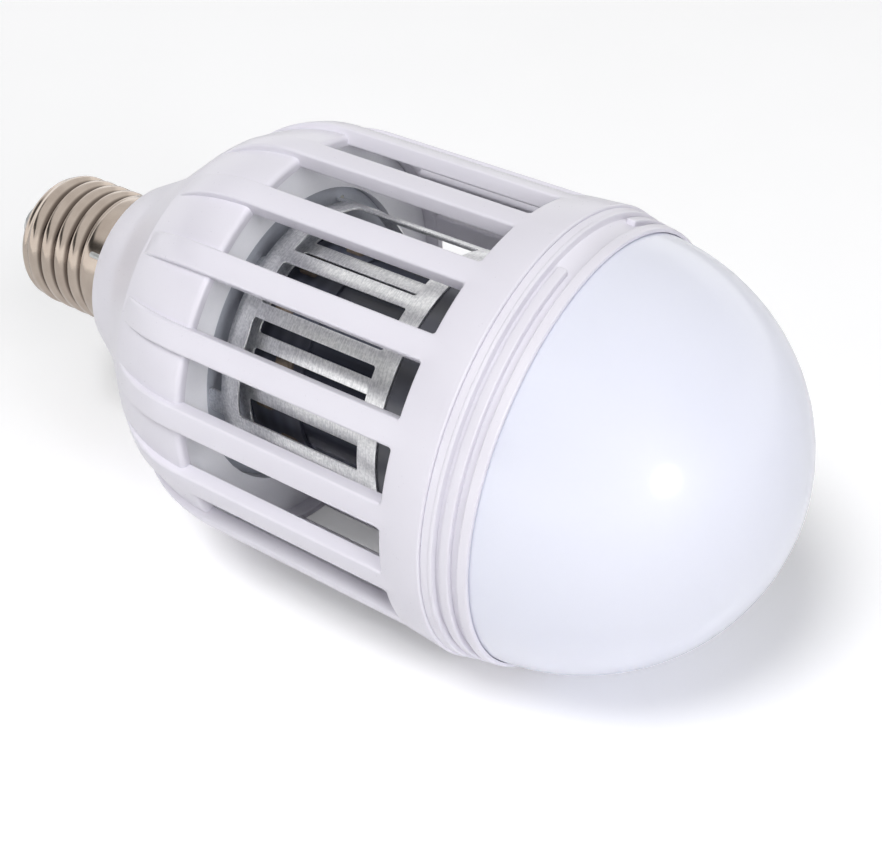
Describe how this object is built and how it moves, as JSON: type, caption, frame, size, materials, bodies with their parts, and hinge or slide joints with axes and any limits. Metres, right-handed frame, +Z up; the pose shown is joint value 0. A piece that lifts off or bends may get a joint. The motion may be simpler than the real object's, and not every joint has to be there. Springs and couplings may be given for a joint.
{
  "type": "insect killer light bulb",
  "caption": "Screw-cap light bulb with a frosted dome and a ribbed open cage round windowed metal electrodes and UV LEDs, which kills flying insects.",
  "frame": {"origin": "the tip of the centre contact, on the bulb's axis", "axes": "+X along the bulb's axis from the cap to the dome, +Z up with the bulb lying on its side"},
  "size_m": [0.1683, 0.08, 0.08],
  "materials": {
    "nickel": "satin nickel plate",
    "white_plastic": "moulded, semi-gloss",
    "diffuser": "frosted, slightly blue",
    "black_glass": "black cap glass",
    "solder": "soldered bump",
    "dark_plastic": "dark holder",
    "tinplate": "stamped sheet",
    "dark_gloss": "glossy dark tube",
    "flex_board": "flexible board",
    "uv_lens": "amber LED case",
    "board": "glass-fibre board",
    "ferrite": "sintered ferrite",
    "copper_wire": "enamelled winding",
    "capacitor_can": "sleeved can",
    "film_case": "dipped film",
    "chip_case": "moulded package",
    "resistor_case": "coated resistor",
    "wire_cover": "wire insulation",
    "plate": "stamped plate",
    "led_board_face": "white solder resist",
    "white_led": "phosphor face",
    "screw_steel": "zinc plated"
  },
  "bodies": {
    "root": {"screw_shell": "nickel", "cap_insulator": "black_glass", "centre_contact": "solder", "cage_housing": "white_plastic", "driver_cover": "white_plastic", "rear_holder": "dark_plastic", "outer_electrode": "tinplate", "inner_electrode": "tinplate", "core_sleeve": "dark_gloss", "uv_led_strip": "flex_board", "uv_leds": "uv_lens", "front_holder": "dark_plastic", "heat_plate": "plate", "led_board": "led_board_face", "white_leds": "white_led", "plate_screws": "screw_steel", "collar_ring": "white_plastic", "diffuser_dome": "diffuser", "driver_board": "board", "transformer_core": "ferrite", "transformer_coil": "copper_wire", "electrolytic_capacitor": "capacitor_can", "film_capacitors": "film_case", "rectifier": "chip_case", "driver_chip": "chip_case", "choke": "copper_wire", "fuse_resistor": "resistor_case", "centre_lead": "wire_cover", "side_lead": "wire_cover", "led_leads": "wire_cover", "electrode_leads": "wire_cover"}
  },
  "joints": []
}
